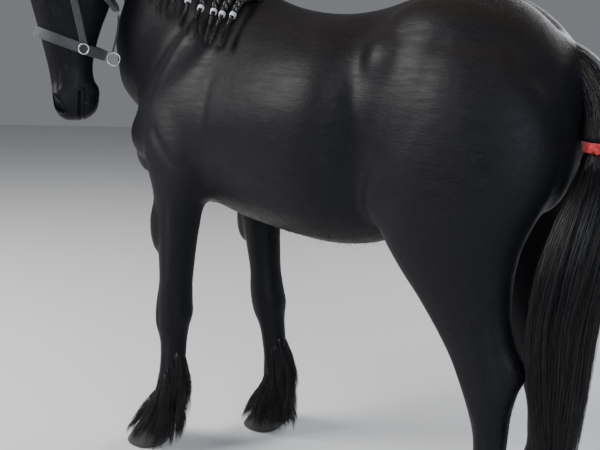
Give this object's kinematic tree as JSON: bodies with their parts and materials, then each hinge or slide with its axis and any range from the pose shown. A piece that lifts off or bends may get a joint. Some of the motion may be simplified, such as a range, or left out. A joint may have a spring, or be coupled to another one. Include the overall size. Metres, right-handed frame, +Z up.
{
  "type": "friesian horse",
  "caption": "Still life-size model of a standing black Friesian horse with feathered legs, plaited mane, long tail with a ribbon, and a stable halter.",
  "frame": {"origin": "on the floor, at the middle of the box that the horse fills", "axes": "-X towards the front of the trunk, -Y to the horse's left, +Z up"},
  "size_m": [1.9144, 0.7671, 1.9373],
  "materials": {
    "coat": "short glossy black hair",
    "hair": "long black horsehair",
    "horn": "dark hoof horn",
    "eye": "wet dark brown eye",
    "halter": "worn grey strap",
    "metal": "plain steel",
    "white_band": "white tape",
    "red_ribbon": "red satin ribbon"
  },
  "bodies": {
    "root": {"ear_left": "coat", "ear_right": "coat", "eye_left": "eye", "eye_right": "eye", "fore_left_hoof": "horn", "fore_left_lower": "coat", "fore_left_upper": "coat", "fore_right_hoof": "horn", "fore_right_lower": "coat", "fore_right_upper": "coat", "halter_crown": "halter", "halter_jaw": "halter", "halter_joint_left": "metal", "halter_joint_right": "metal", "halter_noseband": "halter", "halter_ring_jaw": "metal", "halter_ring_left": "metal", "halter_ring_right": "metal", "halter_throat": "halter", "head": "coat", "hind_left_hoof": "horn", "hind_left_lower": "coat", "hind_left_upper": "coat", "hind_right_hoof": "horn", "hind_right_lower": "coat", "hind_right_upper": "coat", "mane_band_01": "white_band", "mane_band_02": "white_band", "mane_band_03": "white_band", "mane_band_04": "white_band", "mane_band_05": "white_band", "mane_band_06": "white_band", "mane_band_07": "white_band", "mane_band_08": "white_band", "neck": "coat", "tail": "hair", "tail_ribbon": "red_ribbon", "torso": "coat"}
  },
  "joints": []
}
